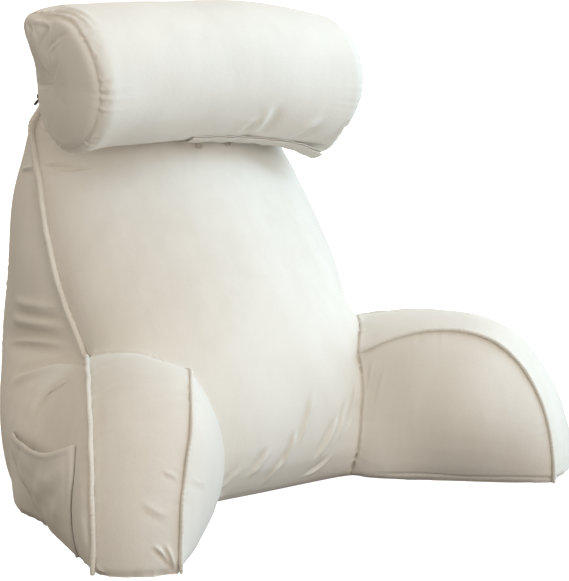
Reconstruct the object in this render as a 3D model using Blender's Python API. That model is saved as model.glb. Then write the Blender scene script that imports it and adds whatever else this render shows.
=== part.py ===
"""Reading pillow with arms: a leaning back cushion, two splayed arms, a neck roll buttoned to the top
of the front, raised welts along the seams, and a side pocket on the left arm's outer side.

Units are metres, +Z up, the sitter faces -Y. Shapes are worked out for the right side (+X) from the
seam lines a maker would cut to, and mirrored for the left. Depths are measured back from the front
panel's bottom edge, then moved so that the origin is near the middle of the footprint.
"""

import math

import bmesh
import bpy
import numpy as np
from mathutils import Matrix, Vector
from mathutils.bvhtree import BVHTree

# ---- driving sizes -------------------------------------------------------------------------------
DEPTH_CENTRE = 0.0935          # depth of the origin behind the front panel's bottom edge
CUTTER_SWELL = 0.0006          # a cutter is its piece swollen by this, which leaves about 0.3 mm or more

# Corner points of the seams on the right side: (across, depth, height).
INNER_FOOT = (0.097, 0.000, 0.000)      # front panel, arm and floor meet
INNER_TOP = (0.122, 0.002, 0.152)       # the arm's inner welt leaves the front panel
OUTER_TOP = (0.187, 0.134, 0.156)       # the arm's outer welt leaves the back cushion
TIP_INNER = (0.257, -0.169, 0.000)      # inner welt reaches the floor at the arm's front
TIP_OUTER = (0.328, -0.122, 0.000)      # outer welt reaches the floor at the arm's front
OUTER_FOOT = (0.296, 0.041, 0.000)      # outer side, where the arm joins the back cushion
HIDDEN_FOOT = (0.185, 0.120, 0.000)     # front panel's bottom corner, inside the arm
BACK_FOOT = (0.190, 0.345, 0.000)       # rear bottom corner
FRONT_TOP = (0.138, 0.302, 0.430)       # top corner of the front panel
REAR_TOP = (0.124, 0.336, 0.424)        # top corner of the rear panel

ARM_TOP_INNER = 0.176          # height of the arm's inner welt at the hump
ARM_TOP_OUTER = 0.170          # height of the arm's outer welt at the hump
ARM_HUMP = 0.42                # where along the arm the hump is, 0 at the back cushion and 1 at the tip
ARM_NOSE = 2.2                 # squareness of the arm's front curve
BAND_CROWN = 0.012             # rise of the arm's top band between its welts
INNER_CROWN = 0.031            # bulge of the arm's inner side
OUTER_CROWN = 0.044            # bulge of the arm's outer side where it joins the back cushion
OUTER_TIP_CROWN = 0.012        # the same at the arm's tip
ARM_ROOT = (-0.032, 0.092)     # how far the arm's stuffing reaches into the back before it is cut
ARM_ROOT_FALL = 0.06           # share of its height that the root loses on the way

# Middle line of the front panel, foot to top: (depth, height).
FRONT_MIDDLE = ((0.004, 0.0), (-0.016, 0.035), (-0.022, 0.080), (-0.008, 0.140), (0.030, 0.205),
                (0.092, 0.285), (0.165, 0.365), (0.228, 0.418), (0.275, 0.440), (0.300, 0.441))
# Front welt between the arm and the top corner: (across, depth, height).
FRONT_SEAM = (OUTER_TOP, (0.193, 0.188, 0.240), (0.183, 0.240, 0.325), (0.163, 0.283, 0.395), FRONT_TOP)
# Rear edge of the side panel, floor to top: (across, depth, height).
REAR_SEAM = (BACK_FOOT, (0.192, 0.352, 0.100), (0.184, 0.356, 0.215), (0.164, 0.352, 0.330), REAR_TOP)
SHOULDER_SHARE = 0.29          # share of the middle line that lies below the arm's top
# Squareness of the front panel's level sections at heights up the panel.
SECTION_HEIGHTS = (0.0, 0.08, 0.15, 0.25)
SECTION_POWERS = (3.6, 2.4, 2.1, 1.8)
# Bulge of the side panel at steps up the panel, and of the rear panel in its middle.
SIDE_CROWNS = (0.012, 0.020, 0.025, 0.023, 0.016, 0.004)
REAR_CROWN = 0.028
TOP_CROWN = 0.010              # rise of the narrow top between the front and rear panels

ROLL_MIDDLE = (0.0, 0.176, 0.4740)      # centre of the neck roll: across, depth, height
ROLL_HALF_LENGTH = 0.184                # middle to end seam
ROLL_END_CROWN = 0.012                  # bulge of the round ends
ROLL_LEAN = 0.14                        # slant of the left end, its top further out
ROLL_TIP = (-0.017, 0.004, 0.006)       # pull of the left end's corner, where the zip ends
ROLL_TIP_TURN = 0.30 * math.pi          # where that corner is, turned up from the back
ROLL_TIP_SPREAD = 0.32                  # width of the pull, in radians
ROLL_RADIUS_MIDDLE = 0.081
ROLL_RADIUS_END = 0.084
ROLL_DROOP = 0.018                      # how far the ends hang below the middle
ROLL_TILT = 0.008                       # how far the right end hangs below that, and the left above it

WELT_RADIUS = 0.0028
WELT_PROUD = 1.25              # how far the welt's middle stands off the seam, in its own radius
WELT_FOOT = 0.001              # height of the welts' lower ends
SEAM_REACH = 0.012             # panels this near to a seam give its outward direction

# Strip under the roll: the folded edge that carries the fastening loops.
STRIP_SPAN = (-0.035, 0.168)            # left and right end, across
STRIP_ARC = (-0.625, -0.545)            # its two edges as turns round the roll, in half turns
STRIP_THICK = 0.0028
STRIP_DROOP = 0.008                     # how far its right end hangs off the roll
STRIP_DROOP_FROM = 0.115                # where the droop starts, across

# Button fastenings on the front panel, under the roll.
BUTTONS_ACROSS = (-0.135, 0.000, 0.045, 0.090, 0.135)
BUTTON_HEIGHT = 0.379                   # height of their row
BUTTON_RADIUS = 0.0032
BUTTON_THICK = 0.0024
LOOP_RADIUS = 0.0046                    # middle of the thread ring round a button
LOOP_THREAD = 0.0007                    # radius of the thread

# Pocket on the left arm's outer side: (depth, height) of its rear and front edges, foot to mouth.
POCKET_REAR = ((0.0085, 0.006), (0.040, 0.026), (0.096, 0.050), (0.128, 0.068), (0.1355, 0.083))
POCKET_FRONT = ((-0.078, 0.006), (-0.077, 0.030), (-0.0755, 0.060), (-0.073, 0.090), (-0.060, 0.1155))
POCKET_SAG = 0.007             # dip of the mouth's middle below its ends
POCKET_OPEN = 0.017            # how far the mouth's middle stands off the cushion
POCKET_CLOTH = 0.0016
POCKET_HEM = 0.0012            # extra thickness of the turned hem
POCKET_CLEAR = 0.0007          # clearance at the sewn edges

# Zip pull behind the roll's left end, hanging from its slider: middles as (across, depth, height).
ZIP_TURN = -0.07 * math.pi      # where the zip is, turned up from the back
SLIDER_SIZE = (0.009, 0.0035, 0.0065)
PULL_SIZE = (0.0045, 0.0014, 0.013)

# ---- grid steps ----------------------------------------------------------------------------------
STEPS_ALONG_ARM = 18
STEPS_UP_ARM = 8
STEPS_ACROSS_BAND = 6
STEPS_ACROSS_FRONT = 24
STEPS_UP_SIDE = 14
STEPS_BACK_SIDE = 8

SHARP_ANGLE = math.radians(40)
MIRROR = np.array([-1.0, 1.0, 1.0])


# ---- curves and patches --------------------------------------------------------------------------
def smooth_curve(points, steps):
    """A centripetal-like cubic through the points, evenly spaced in length, as steps + 1 points."""
    p = np.array(points, float)
    knots = np.concatenate([[0.0], np.cumsum(np.linalg.norm(np.diff(p, axis=0), axis=1))])
    slopes = np.gradient(p, knots, axis=0)
    fine = np.linspace(0.0, knots[-1], 40 * len(p))
    k = np.clip(np.searchsorted(knots, fine, side="right") - 1, 0, len(p) - 2)
    span = (knots[k + 1] - knots[k])[:, None]
    t = (fine[:, None] - knots[k][:, None]) / span
    curve = ((2 * t**3 - 3 * t**2 + 1) * p[k] + (t**3 - 2 * t**2 + t) * span * slopes[k]
             + (3 * t**2 - 2 * t**3) * p[k + 1] + (t**3 - t**2) * span * slopes[k + 1])
    length = np.concatenate([[0.0], np.cumsum(np.linalg.norm(np.diff(curve, axis=0), axis=1))])
    even = np.linspace(0.0, length[-1], steps + 1)
    return np.stack([np.interp(even, length, curve[:, i]) for i in range(curve.shape[1])], axis=1)


def straight(start, end, shares):
    """Points between start and end at the given shares of the way."""
    shares = np.asarray(shares, float)[:, None]
    return np.array(start, float) * (1 - shares) + np.array(end, float) * shares


def crown(shares, power):
    """0 at both ends and 1 in the middle; a low power makes it full near the ends."""
    return np.sin(math.pi * np.clip(shares, 0.0, 1.0)) ** power


def steps_of(count):
    """Even shares from 0 to 1."""
    return np.linspace(0.0, 1.0, count + 1)


# ---- the arm's seam lines ------------------------------------------------------------------------
def along_arm():
    """Shares along the arm, closer together towards the steep front."""
    return np.sin(steps_of(STEPS_ALONG_ARM) * math.pi / 2)


def arm_welt(start, tip, top):
    """A welt along the arm: up to the hump, then a quarter superellipse down to the floor."""
    shares = along_arm()
    points = straight(start, tip, shares)
    before = np.clip(1 - shares / ARM_HUMP, 0.0, 1.0)
    fall = np.clip((shares - ARM_HUMP) / (1 - ARM_HUMP), 0.0, 1.0)
    rise = top - (top - start[2]) * before**2
    drop = top * (1 - fall**ARM_NOSE) ** (1 / ARM_NOSE)
    points[:, 2] = np.where(shares < ARM_HUMP, rise, drop)
    return points


def inner_welt():
    return arm_welt(INNER_TOP, TIP_INNER, ARM_TOP_INNER)


def outer_welt():
    return arm_welt(OUTER_TOP, TIP_OUTER, ARM_TOP_OUTER)


def inner_start():
    """Line where the arm's inner side starts, floor to welt."""
    return straight(INNER_FOOT, INNER_TOP, steps_of(STEPS_UP_ARM))


def band_start():
    """Line where the arm's top band starts, inner welt to outer welt."""
    points = straight(INNER_TOP, OUTER_TOP, steps_of(STEPS_ACROSS_BAND))
    points[:, 2] += BAND_CROWN * crown(steps_of(STEPS_ACROSS_BAND), 0.8)
    return points


def outer_crown(shares):
    """Bulge of the arm's outer side, from where it joins the back cushion to the tip."""
    return OUTER_TIP_CROWN + (OUTER_CROWN - OUTER_TIP_CROWN) * (1 - shares) ** 1.1


def outer_side():
    """Arm's outer side as a grid: along the arm, then floor to welt. It bulges outwards and up."""
    along, up = along_arm()[:, None, None], steps_of(STEPS_UP_ARM)[None, :, None]
    foot = straight(OUTER_FOOT, TIP_OUTER, along_arm())[:, None, :]
    top = outer_welt()[:, None, :]
    outward = np.array([0.93, -0.05, 0.36])
    closing = np.clip((1 - along) / 0.08, 0.0, 1.0) ** 0.5
    return foot * (1 - up) + top * up + outward * outer_crown(along) * closing * crown(up, 0.75)


def inner_side():
    """Arm's inner side as a grid: along the arm, then floor to welt. It bulges towards the sitter."""
    along, up = along_arm()[:, None, None], steps_of(STEPS_UP_ARM)[None, :, None]
    foot = straight(INNER_FOOT, TIP_INNER, along_arm())[:, None, :]
    top = inner_welt()[:, None, :]
    inward = np.array([-0.73, -0.68, 0.05])
    return foot * (1 - up) + top * up + inward * INNER_CROWN * crown(along, 1.0) * crown(up, 0.8)


def arm_band():
    """Arm's top band as a grid: along the arm, then inner welt to outer welt, crowned off the arm."""
    across = steps_of(STEPS_ACROSS_BAND)[None, :, None]
    inner, outer = inner_welt(), outer_welt()
    flow = np.gradient((inner + outer) / 2, axis=0)
    spread = outer - inner
    away = np.cross(flow, spread)
    away /= np.linalg.norm(away, axis=1)[:, None]
    grid = inner[:, None, :] * (1 - across) + outer[:, None, :] * across
    grid = grid + away[:, None, :] * BAND_CROWN * crown(across, 0.8)
    grid[-1, :, 2] = 0.0
    grid[0] = band_start()
    return grid


def to_root(points):
    """The same points at the root's inner end."""
    return points * [1.0, 1.0, 1.0 - ARM_ROOT_FALL] + np.array([*ARM_ROOT, 0.0])


def arm_root_side():
    """Sides of the arm's root as a grid: round the start from inner foot to outer foot, then inwards."""
    ring = np.concatenate([inner_start(), band_start()[1:], outer_side()[0][-2::-1]])
    return np.stack([ring, to_root(ring)], axis=1)


def arm_root_end():
    """End of the arm's root as a grid: across, then floor to top. It lies inside the back cushion."""
    across = steps_of(STEPS_ACROSS_BAND)[:, None, None]
    up = steps_of(STEPS_UP_ARM)[None, :, None]
    left, right, top = inner_start()[None], outer_side()[0][None], band_start()[:, None, :]
    bottom = straight(INNER_FOOT, OUTER_FOOT, steps_of(STEPS_ACROSS_BAND))[:, None, :]
    corners = ((1 - across) * (1 - up) * left[:, :1] + across * (1 - up) * right[:, :1]
               + (1 - across) * up * left[:, -1:] + across * up * right[:, -1:])
    face = left * (1 - across) + right * across + bottom * (1 - up) + top * up - corners
    return to_root(face)


# ---- the back cushion's panels -------------------------------------------------------------------
def front_edge():
    """Right edge of the front panel, floor to top corner: hidden inside the arm, then the front welt."""
    hidden = straight(HIDDEN_FOOT, OUTER_TOP, steps_of(STEPS_UP_ARM))
    return np.concatenate([hidden, smooth_curve(FRONT_SEAM, STEPS_UP_SIDE)[1:]])


def front_panel():
    """Front panel as a grid: left to right, then floor to top. Each row is part of a superellipse."""
    edge = front_edge()
    rows = len(edge)
    middle_share = np.interp(np.arange(rows), [0, STEPS_UP_ARM, rows - 1], [0.0, SHOULDER_SHARE, 1.0])
    fine = smooth_curve([(0.0, y, z) for y, z in FRONT_MIDDLE], 200)
    middle = np.stack([np.interp(middle_share * 200, np.arange(201), fine[:, i]) for i in range(3)], axis=1)
    across = np.sin(np.linspace(-1, 1, STEPS_ACROSS_FRONT + 1) * math.pi / 2)[:, None]
    power = np.interp(edge[:, 2], SECTION_HEIGHTS, SECTION_POWERS)[None, :]
    out = 1 - (1 - np.abs(across) ** power) ** (1 / power)
    x = across * edge[None, :, 0]
    y = middle[None, :, 1] + (edge[None, :, 1] - middle[None, :, 1]) * out
    z = middle[None, :, 2] + (edge[None, :, 2] - middle[None, :, 2]) * np.abs(across) ** 2
    return np.stack([x, y, z], axis=-1)


def arm_seat():
    """Face of the back cushion that the arm is sewn against: front panel's corner outwards, then up."""
    out = steps_of(4)[:, None, None]
    return front_edge()[None, :STEPS_UP_ARM + 1] * (1 - out) + outer_side()[0][None] * out


def side_panel():
    """Side of the back cushion as a grid: front edge to rear edge, then floor to top."""
    front = np.concatenate([outer_side()[0], smooth_curve(FRONT_SEAM, STEPS_UP_SIDE)[1:]])
    rows = len(front)
    rear = smooth_curve(REAR_SEAM, rows - 1)
    back = steps_of(STEPS_BACK_SIDE)[:, None, None]
    up = np.linspace(0.0, 1.0, rows)
    bulge = np.interp(up, np.linspace(0.0, 1.0, len(SIDE_CROWNS)), SIDE_CROWNS)[None, :, None]
    outward = np.array([0.97, -0.24, 0.0])
    lean = crown(back, 1.0)
    return front[None] * (1 - back) + rear[None] * back + outward * bulge * lean


def rear_panel():
    """Rear panel as a grid: left to right, then floor to top, bulging backwards."""
    rows = STEPS_UP_ARM + STEPS_UP_SIDE + 1
    edge = smooth_curve(REAR_SEAM, rows - 1)
    across = np.sin(np.linspace(-1, 1, STEPS_ACROSS_FRONT + 1) * math.pi / 2)[:, None]
    up = np.linspace(0.0, 1.0, rows)[None, :]
    x = across * edge[None, :, 0]
    y = edge[None, :, 1] + REAR_CROWN * (1 - across**2) * crown(up, 0.6)
    z = edge[None, :, 2] + 0 * x
    z[:, -1] = np.interp(np.abs(across[:, 0]), [0, 1], [REAR_TOP[2] + 0.012, REAR_TOP[2]])
    return np.stack([x, y, z], axis=-1)


def top_strip():
    """Narrow top between the front panel's and the rear panel's top edges."""
    back = steps_of(STEPS_BACK_SIDE)[None, :, None]
    front, rear = front_panel()[:, -1], rear_panel()[:, -1]
    grid = front[:, None] * (1 - back) + rear[:, None] * back
    grid[..., 2] += TOP_CROWN * crown(back[..., 0], 0.8) * crown(steps_of(STEPS_ACROSS_FRONT)[:, None], 0.3)
    return grid


# ---- mesh making ---------------------------------------------------------------------------------
def in_frame(points):
    return np.asarray(points, float) - np.array([0.0, DEPTH_CENTRE, 0.0])


def new_object(name, mesh_builder, material):
    mesh = bpy.data.meshes.new(name)
    mesh_builder.to_mesh(mesh)
    mesh_builder.free()
    mesh.materials.append(material)
    mesh.shade_smooth()
    mesh.set_sharp_from_angle(angle=SHARP_ANGLE)
    obj = bpy.data.objects.new(name, mesh)
    bpy.context.scene.collection.objects.link(obj)
    return obj


def add_grid(builder, grid):
    """Adds a grid of points to the mesh as four-sided faces."""
    verts = [[builder.verts.new(point) for point in line] for line in grid]
    for a, b in zip(verts[:-1], verts[1:]):
        for i in range(len(a) - 1):
            builder.faces.new((a[i], b[i], b[i + 1], a[i + 1]))


def closed_body(name, grids, material):
    """Welds the grids at their shared seams and closes the flat base with one face."""
    builder = bmesh.new()
    for grid in grids:
        add_grid(builder, in_frame(grid))
    bmesh.ops.remove_doubles(builder, verts=builder.verts, dist=1e-5)
    bmesh.ops.dissolve_degenerate(builder, edges=builder.edges, dist=1e-6)
    open_edges = [edge for edge in builder.edges if edge.is_boundary]
    bmesh.ops.holes_fill(builder, edges=open_edges, sides=0)
    bmesh.ops.triangulate(builder, faces=builder.faces)
    bmesh.ops.recalc_face_normals(builder, faces=builder.faces)
    return new_object(name, builder, material)


def swollen_copy(obj):
    """Hidden copy of a piece, larger by the clearance all round, to cut its neighbours with."""
    copy = obj.copy()
    copy.data = obj.data.copy()
    copy.name = obj.name + "_cutter"
    swell = copy.modifiers.new("swell", "DISPLACE")
    swell.strength = CUTTER_SWELL
    swell.mid_level = 0.0
    copy.hide_render = True
    copy.display_type = "WIRE"
    bpy.context.scene.collection.objects.link(copy)
    return copy


def cut_clear(obj, *cutters):
    """Keeps obj clear of each cutter's piece."""
    for cutter in cutters:
        cut = obj.modifiers.new("clear_of_" + cutter.name, "BOOLEAN")
        cut.operation = "DIFFERENCE"
        cut.solver = "EXACT"
        cut.object = cutter


def outward_at(points, solids):
    """Outward directions at points of a seam: the mean of the panels' normals round each point."""
    sums = np.zeros_like(points)
    for solid in solids:
        tree = tree_of(solid)
        for i, point in enumerate(points):
            for _, normal, _, _ in tree.find_nearest_range(point, SEAM_REACH):
                sums[i] += normal
    return sums / np.linalg.norm(sums, axis=1)[:, None]


def welt(name, path, radius, solids, cutters, material):
    """A round cord sewn into a seam: it stands proud of the panels, which it is cut clear of."""
    path = in_frame(path)
    path = path + outward_at(path, solids) * radius * WELT_PROUD
    path[:, 2] = np.maximum(path[:, 2], WELT_FOOT)
    curve = bpy.data.curves.new(name, "CURVE")
    curve.dimensions = "3D"
    curve.bevel_depth = radius
    curve.bevel_resolution = 2
    curve.use_fill_caps = True
    spline = curve.splines.new("POLY")
    spline.points.add(len(path) - 1)
    spline.points.foreach_set("co", np.c_[path, np.ones(len(path))].ravel())
    guide = bpy.data.objects.new(name + "_guide", curve)
    builder = bmesh.new()
    builder.from_mesh(bpy.data.meshes.new_from_object(guide))
    bpy.data.objects.remove(guide)
    bmesh.ops.remove_doubles(builder, verts=builder.verts, dist=1e-5)
    bmesh.ops.recalc_face_normals(builder, faces=builder.faces)
    obj = new_object(name, builder, material)
    cut_clear(obj, *cutters)
    return obj


def sheet_between(name, inner, outer, material):
    """A closed sheet between two grids of points."""
    rims = [np.stack([inner[end], outer[end]]) for end in (0, -1)]
    rims += [np.stack([inner[:, end], outer[:, end]]) for end in (0, -1)]
    return closed_body(name, [inner, outer, *rims], material)


def tree_of(obj):
    faces = [polygon.vertices for polygon in obj.data.polygons]
    return BVHTree.FromPolygons([vertex.co for vertex in obj.data.vertices], faces)


def first_hit(trees, start, way):
    """Where a straight line first meets one of the solids, and the outward direction there."""
    hits = [tree.ray_cast(start, way) for tree in trees]
    hits = [hit for hit in hits if hit[0] is not None]
    place, normal, _, _ = min(hits, key=lambda hit: hit[3])
    return np.array(place), np.array(normal)


def surface(name, colour, roughness=0.85, metallic=0.0):
    """A plain material; the defaults are those of cloth."""
    material = bpy.data.materials.new(name)
    material.use_nodes = True
    shader = material.node_tree.nodes["Principled BSDF"]
    shader.inputs["Base Color"].default_value = (*colour, 1.0)
    shader.inputs["Roughness"].default_value = roughness
    shader.inputs["Metallic"].default_value = metallic
    return material


# ---- pieces --------------------------------------------------------------------------------------
def back_cushion(material):
    sides = [side_panel(), arm_seat()]
    grids = [front_panel(), rear_panel(), top_strip(), *sides, *(grid * MIRROR for grid in sides)]
    return closed_body("back_cushion", grids, material)


def arm(name, side, material):
    """One arm pod. Its root reaches into the back cushion, and is cut to its face afterwards."""
    grids = [inner_side(), outer_side(), arm_band(), arm_root_side(), arm_root_end()]
    if side < 0:
        grids = [grid * MIRROR for grid in grids]
    return closed_body(name, grids, material)


def neck_roll(material):
    """A stuffed tube with round ends, hanging a little at both ends."""
    x = np.sin(np.linspace(-1, 1, 29) * math.pi / 2)
    end = np.clip((np.abs(x) - 0.90) / 0.10, 0, 1)
    radius = ROLL_RADIUS_MIDDLE + (ROLL_RADIUS_END - ROLL_RADIUS_MIDDLE) * x**2
    radius = radius * np.sqrt(np.clip(1 - (end * 0.45) ** 2, 0, 1))
    turn = np.linspace(0, 2 * math.pi, 33)[None, :]
    across = ROLL_MIDDLE[0] + ROLL_HALF_LENGTH * x[:, None] + 0 * turn
    depth = ROLL_MIDDLE[1] + radius[:, None] * np.cos(turn)
    sag = ROLL_DROOP * x[:, None] ** 2 + ROLL_TILT * x[:, None]
    height = ROLL_MIDDLE[2] - sag + radius[:, None] * np.sin(turn)
    tube_grid = np.stack([across, depth, height], axis=-1)
    left = np.clip((-x[:, None] - 0.6) / 0.4, 0, 1) ** 2
    tube_grid[..., 0] -= left * ROLL_LEAN * radius[:, None] * np.sin(turn)
    pull = left * np.exp(-((turn - ROLL_TIP_TURN) / ROLL_TIP_SPREAD) ** 2)
    tube_grid += pull[..., None] * np.array(ROLL_TIP)
    share = steps_of(4)
    ends = []
    for edge, sign in ((tube_grid[0], -1), (tube_grid[-1], 1)):
        centre = edge[:-1].mean(axis=0)
        disc = edge[None] * (1 - share)[:, None, None] + centre * share[:, None, None]
        disc[..., 0] += sign * ROLL_END_CROWN * np.sqrt(1 - (1 - share) ** 2)[:, None]
        ends.append(disc)
    return closed_body("neck_roll", [tube_grid, *ends], material)


def roll_point(across, turn, off):
    """Point off the roll's round side by the given distance; across and turn are arrays."""
    share = across / ROLL_HALF_LENGTH
    radius = ROLL_RADIUS_MIDDLE + (ROLL_RADIUS_END - ROLL_RADIUS_MIDDLE) * share**2 + off
    sag = ROLL_DROOP * share**2 + ROLL_TILT * share
    depth = ROLL_MIDDLE[1] + radius * np.cos(turn)
    return np.stack([across + 0 * turn, depth, ROLL_MIDDLE[2] - sag + radius * np.sin(turn)], axis=-1)


def roll_strip(material):
    """Folded strip along the roll's underside; its right end hangs off a little."""
    across = np.linspace(*STRIP_SPAN, 25)[:, None]
    turn = np.linspace(*STRIP_ARC, 4)[None, :] * math.pi
    droop = np.clip((across - STRIP_DROOP_FROM) / (STRIP_SPAN[1] - STRIP_DROOP_FROM), 0.0, 1.0) ** 1.5
    off = POCKET_CLEAR + STRIP_DROOP * droop
    return sheet_between("roll_strip", roll_point(across, turn, off),
                         roll_point(across, turn, off + STRIP_THICK), material)


def pocket(trees, material):
    """Pocket sewn to the arm's outer side along three edges, its mouth standing open."""
    rear, front = smooth_curve(POCKET_REAR, 10), smooth_curve(POCKET_FRONT, 10)
    along, up = steps_of(20)[:, None], steps_of(10)[None, :]
    flat = rear[None] * (1 - along)[..., None] + front[None] * along[..., None]
    flat[..., 1] -= POCKET_SAG * 4 * along * (1 - along) * up**2
    off = POCKET_CLEAR + POCKET_OPEN * (4 * along * (1 - along)) ** 0.6 * up
    thick = POCKET_CLOTH + POCKET_HEM * (up > 0.85)
    inner, outer = np.zeros((21, 11, 3)), np.zeros((21, 11, 3))
    for i, j in np.ndindex(21, 11):
        start = in_frame((-1.0, *flat[i, j]))
        place, normal = first_hit(trees, start, (1.0, 0.0, 0.0))
        inner[i, j] = place + normal * off[i, j]
        outer[i, j] = place + normal * (off[i, j] + thick[0, j])
    back = np.array([0.0, DEPTH_CENTRE, 0.0])
    return sheet_between("pocket_left", inner + back, outer + back, material)


def turned_to(obj, place, normal):
    """Lays a piece made flat on the XY plane against a surface."""
    obj.matrix_world = Matrix.Translation(place) @ Vector(normal).to_track_quat("Z", "Y").to_matrix().to_4x4()


def button_and_loop(number, across, tree, shell, thread):
    """A small domed button on the front panel, with a thread ring hooked round it."""
    place, normal = first_hit([tree], (across, -1.0, BUTTON_HEIGHT), (0.0, 1.0, 0.0))
    builder = bmesh.new()
    bmesh.ops.create_uvsphere(builder, u_segments=12, v_segments=6, radius=BUTTON_RADIUS)
    bmesh.ops.scale(builder, verts=builder.verts, vec=(1, 1, BUTTON_THICK / 2 / BUTTON_RADIUS))
    button = new_object(f"button_{number}", builder, shell)
    turned_to(button, place + normal * (BUTTON_THICK / 2 + POCKET_CLEAR), normal)
    builder = bmesh.new()
    ring = bmesh.ops.create_circle(builder, segments=6, radius=LOOP_THREAD)
    bmesh.ops.rotate(builder, verts=ring["verts"], matrix=Matrix.Rotation(math.pi / 2, 3, "X"))
    bmesh.ops.translate(builder, verts=ring["verts"], vec=(LOOP_RADIUS, 0, 0))
    bmesh.ops.spin(builder, geom=builder.verts[:] + builder.edges[:], cent=(0, 0, 0), axis=(0, 0, 1),
                   angle=math.tau, steps=16)
    bmesh.ops.remove_doubles(builder, verts=builder.verts, dist=1e-5)
    bmesh.ops.recalc_face_normals(builder, faces=builder.faces)
    loop = new_object(f"loop_{number}", builder, thread)
    turned_to(loop, place + normal * (LOOP_THREAD + POCKET_CLEAR), normal)


def block(name, size, middle, material):
    """A small block with rounded edges."""
    builder = bmesh.new()
    bmesh.ops.create_cube(builder, size=1.0)
    bmesh.ops.scale(builder, verts=builder.verts, vec=size)
    bmesh.ops.bevel(builder, geom=builder.edges[:], offset=min(size) * 0.3, segments=2, affect="EDGES")
    obj = new_object(name, builder, material)
    obj.location = middle
    return obj


def zip_pieces(material):
    """Slider at the back of the roll's left end, and the pull that hangs from it."""
    at = in_frame(roll_point(np.array(-ROLL_HALF_LENGTH * 0.97), np.array(ZIP_TURN), SLIDER_SIZE[1] / 2 + 0.001))
    block("zip_slider", SLIDER_SIZE, at, material)
    drop = (SLIDER_SIZE[2] + PULL_SIZE[2]) / 2 + 0.0004
    block("zip_pull", PULL_SIZE, at - [0.0, 0.0, drop], material)


def main():
    for obj in list(bpy.data.objects):
        bpy.data.objects.remove(obj)
    cover = surface("cover_cloth", (0.80, 0.76, 0.69))
    piping = surface("piping_cloth", (0.78, 0.73, 0.65))
    shell = surface("button_shell", (0.74, 0.70, 0.62), roughness=0.4)
    thread = surface("loop_thread", (0.72, 0.68, 0.60), roughness=0.7)
    metal = surface("zip_metal", (0.16, 0.15, 0.14), roughness=0.35, metallic=0.9)

    back = back_cushion(cover)
    back_cutter = swollen_copy(back)
    cut_clear(neck_roll(cover), back_cutter)
    pods = {}
    for name, side in (("left", -1), ("right", 1)):
        pod = pods[name] = arm("arm_" + name, side, cover)
        pod_cutter = swollen_copy(pod)
        cut_clear(pod, back_cutter)
        way = MIRROR if side < 0 else 1.0
        front_welt = smooth_curve(FRONT_SEAM, STEPS_UP_SIDE)[:0:-1]
        long_welt = np.concatenate([front_welt, outer_welt()]) * way
        welt("welt_outer_" + name, long_welt, WELT_RADIUS, (back, pod), (back_cutter, pod_cutter), piping)
        short_welt = inner_welt()
        root = short_welt[0] - (short_welt[1] - short_welt[0]) * 0.6
        short_welt = np.concatenate([[root], short_welt]) * way
        welt("welt_inner_" + name, short_welt, WELT_RADIUS, (pod,), (back_cutter,), piping)
    cut_clear(roll_strip(cover), back_cutter)
    pocket((tree_of(pods["left"]), tree_of(back)), cover)
    for number, across in enumerate(BUTTONS_ACROSS, 1):
        button_and_loop(number, across, tree_of(back), shell, thread)
    zip_pieces(metal)


main()
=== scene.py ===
"""Looks of the reading pillow: stuffed cover, neck roll, piping, pocket, fastenings and the studio.

Lengths are metres in the part's own frame: +Z up, the sitter faces -Y. Only the tables of folds and pushes
are in millimetres. Right-hand seam lines are given, and the left-hand ones are their mirror images.
"""

import math

import bmesh
import bpy
import numpy as np
from mathutils import Matrix, Vector
from mathutils.bvhtree import BVHTree


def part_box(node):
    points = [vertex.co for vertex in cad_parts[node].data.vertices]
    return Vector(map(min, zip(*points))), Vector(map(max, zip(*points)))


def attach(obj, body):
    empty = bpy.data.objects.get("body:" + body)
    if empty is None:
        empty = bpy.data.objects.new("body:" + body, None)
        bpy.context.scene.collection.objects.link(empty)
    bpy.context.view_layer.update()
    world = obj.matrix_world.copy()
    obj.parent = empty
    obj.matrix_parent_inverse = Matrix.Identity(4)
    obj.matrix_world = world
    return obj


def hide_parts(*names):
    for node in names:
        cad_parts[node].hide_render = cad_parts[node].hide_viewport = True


bl_info = {
    "name": "Reading pillow with arms",
    "version": (1, 0, 0),
    "blender": (4, 5, 0),
    "location": "View3D > Sidebar > Pillow",
    "description": "Builds the pillow's stuffed cover, neck roll, piping, pocket and fastenings",
    "category": "Object",
}

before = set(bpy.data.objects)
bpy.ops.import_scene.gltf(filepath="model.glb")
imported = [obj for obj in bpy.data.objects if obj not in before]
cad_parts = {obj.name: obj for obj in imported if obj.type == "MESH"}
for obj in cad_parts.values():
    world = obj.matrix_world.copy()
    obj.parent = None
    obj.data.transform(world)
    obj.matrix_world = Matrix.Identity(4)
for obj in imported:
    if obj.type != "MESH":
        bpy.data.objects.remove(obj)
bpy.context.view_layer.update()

# ---- seam lines on the right side: (across, depth, height)
OUTER_TOP = (0.187, 0.0405, 0.156)
INNER_TOP = (0.122, -0.0915, 0.152)
TIP_OUTER = (0.328, -0.2155, 0.0)
TIP_INNER = (0.257, -0.2625, 0.0)
FRONT_SEAM = (OUTER_TOP, (0.193, 0.0945, 0.240), (0.183, 0.1465, 0.325), (0.163, 0.1895, 0.395),
              (0.138, 0.2085, 0.430))
REAR_SEAM = ((0.190, 0.2515, 0.0), (0.192, 0.2585, 0.100), (0.184, 0.2625, 0.215),
             (0.164, 0.2585, 0.330), (0.124, 0.2425, 0.424))
TOP_FRONT_SEAM = ((-0.138, 0.2085, 0.430), (-0.069, 0.2070, 0.4383), (0.0, 0.2065, 0.441),
                  (0.069, 0.2070, 0.4383), (0.138, 0.2085, 0.430))
TOP_REAR_SEAM = ((-0.124, 0.2425, 0.424), (0.0, 0.2425, 0.436), (0.124, 0.2425, 0.424))
ARM_TOPS = {"inner": 0.176, "outer": 0.170}
ARM_HUMP = 0.42                # share along the arm where its welts are highest
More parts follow.
